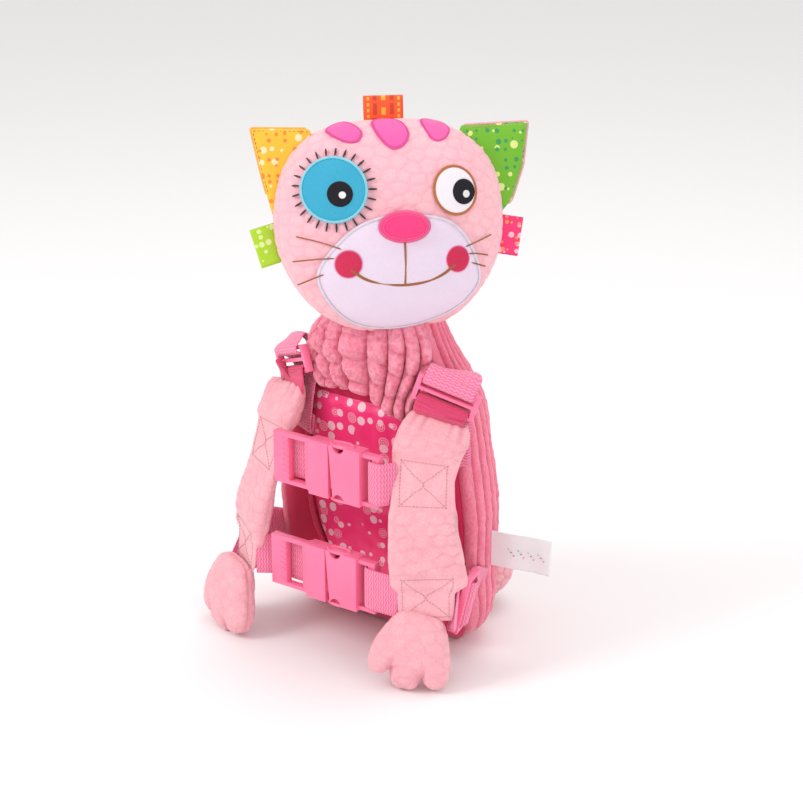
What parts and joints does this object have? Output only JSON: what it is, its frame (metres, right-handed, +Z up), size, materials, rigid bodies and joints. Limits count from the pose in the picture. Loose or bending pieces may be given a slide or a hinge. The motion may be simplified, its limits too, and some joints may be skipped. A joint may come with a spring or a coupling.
{
  "type": "toddler harness backpack",
  "caption": "Plush toddler backpack shaped as a hugging cat: ribbed zip bag, padded head, paw-ended shoulder straps and two webbing belts closed by side-release buckles.",
  "frame": {"origin": "middle of the bag's base on the surface it stands on", "axes": "+Z up, -Y towards the side with the straps and belts, +X to the right as seen from that side"},
  "size_m": [0.1998, 0.1497, 0.3182],
  "materials": {
    "plush": "plush",
    "muzzle": "plush",
    "rib": "ribbed plush",
    "print": "satin",
    "piping": "satin",
    "nose": "felt",
    "cheek": "felt",
    "stripe": "felt",
    "blue": "felt",
    "white": "satin",
    "ink": "felt",
    "yellow": "printed cotton",
    "green": "printed cotton",
    "ribbon_orange": "woven ribbon",
    "ribbon_lime": "satin ribbon",
    "ribbon_pink": "woven ribbon",
    "webbing": "woven webbing",
    "webbing_deep": "woven webbing",
    "plastic": "satin"
  },
  "bodies": {
    "root": {"bag_shell": "rib", "cheek_left": "cheek", "cheek_right": "cheek", "chest_buckle_female": "plastic", "chest_buckle_male": "plastic", "chest_webbing_left": "webbing", "chest_webbing_right": "webbing", "ear_left": "yellow", "ear_right": "green", "eye_patch_left": "blue", "eye_patch_right": "white", "front_panel": "print", "head": "plush", "lower_ladder_lock_left": "plastic", "lower_ladder_lock_right": "plastic", "lower_webbing_left": "webbing", "lower_webbing_right": "webbing", "muzzle": "muzzle", "nose": "nose", "panel_piping": "piping", "paw_left": "plush", "paw_right": "plush", "pupil_left": "ink", "pupil_right": "ink", "ribbon_loop_left": "ribbon_lime", "ribbon_loop_right": "ribbon_pink", "ribbon_loop_top": "ribbon_orange", "shoulder_ladder_lock_left": "plastic", "shoulder_ladder_lock_right": "plastic", "shoulder_webbing_left": "webbing", "shoulder_webbing_right": "webbing", "side_label": "white", "strap_left": "plush", "strap_right": "plush", "strap_top_webbing_left": "webbing_deep", "strap_top_webbing_right": "webbing_deep", "stripe_left": "stripe", "stripe_middle": "stripe", "stripe_right": "stripe", "tail": "plush", "waist_buckle_female": "plastic", "waist_buckle_male": "plastic", "waist_webbing_left": "webbing", "waist_webbing_right": "webbing", "yoke": "rib", "zip": "piping", "zip_slider": "plastic"}
  },
  "joints": []
}
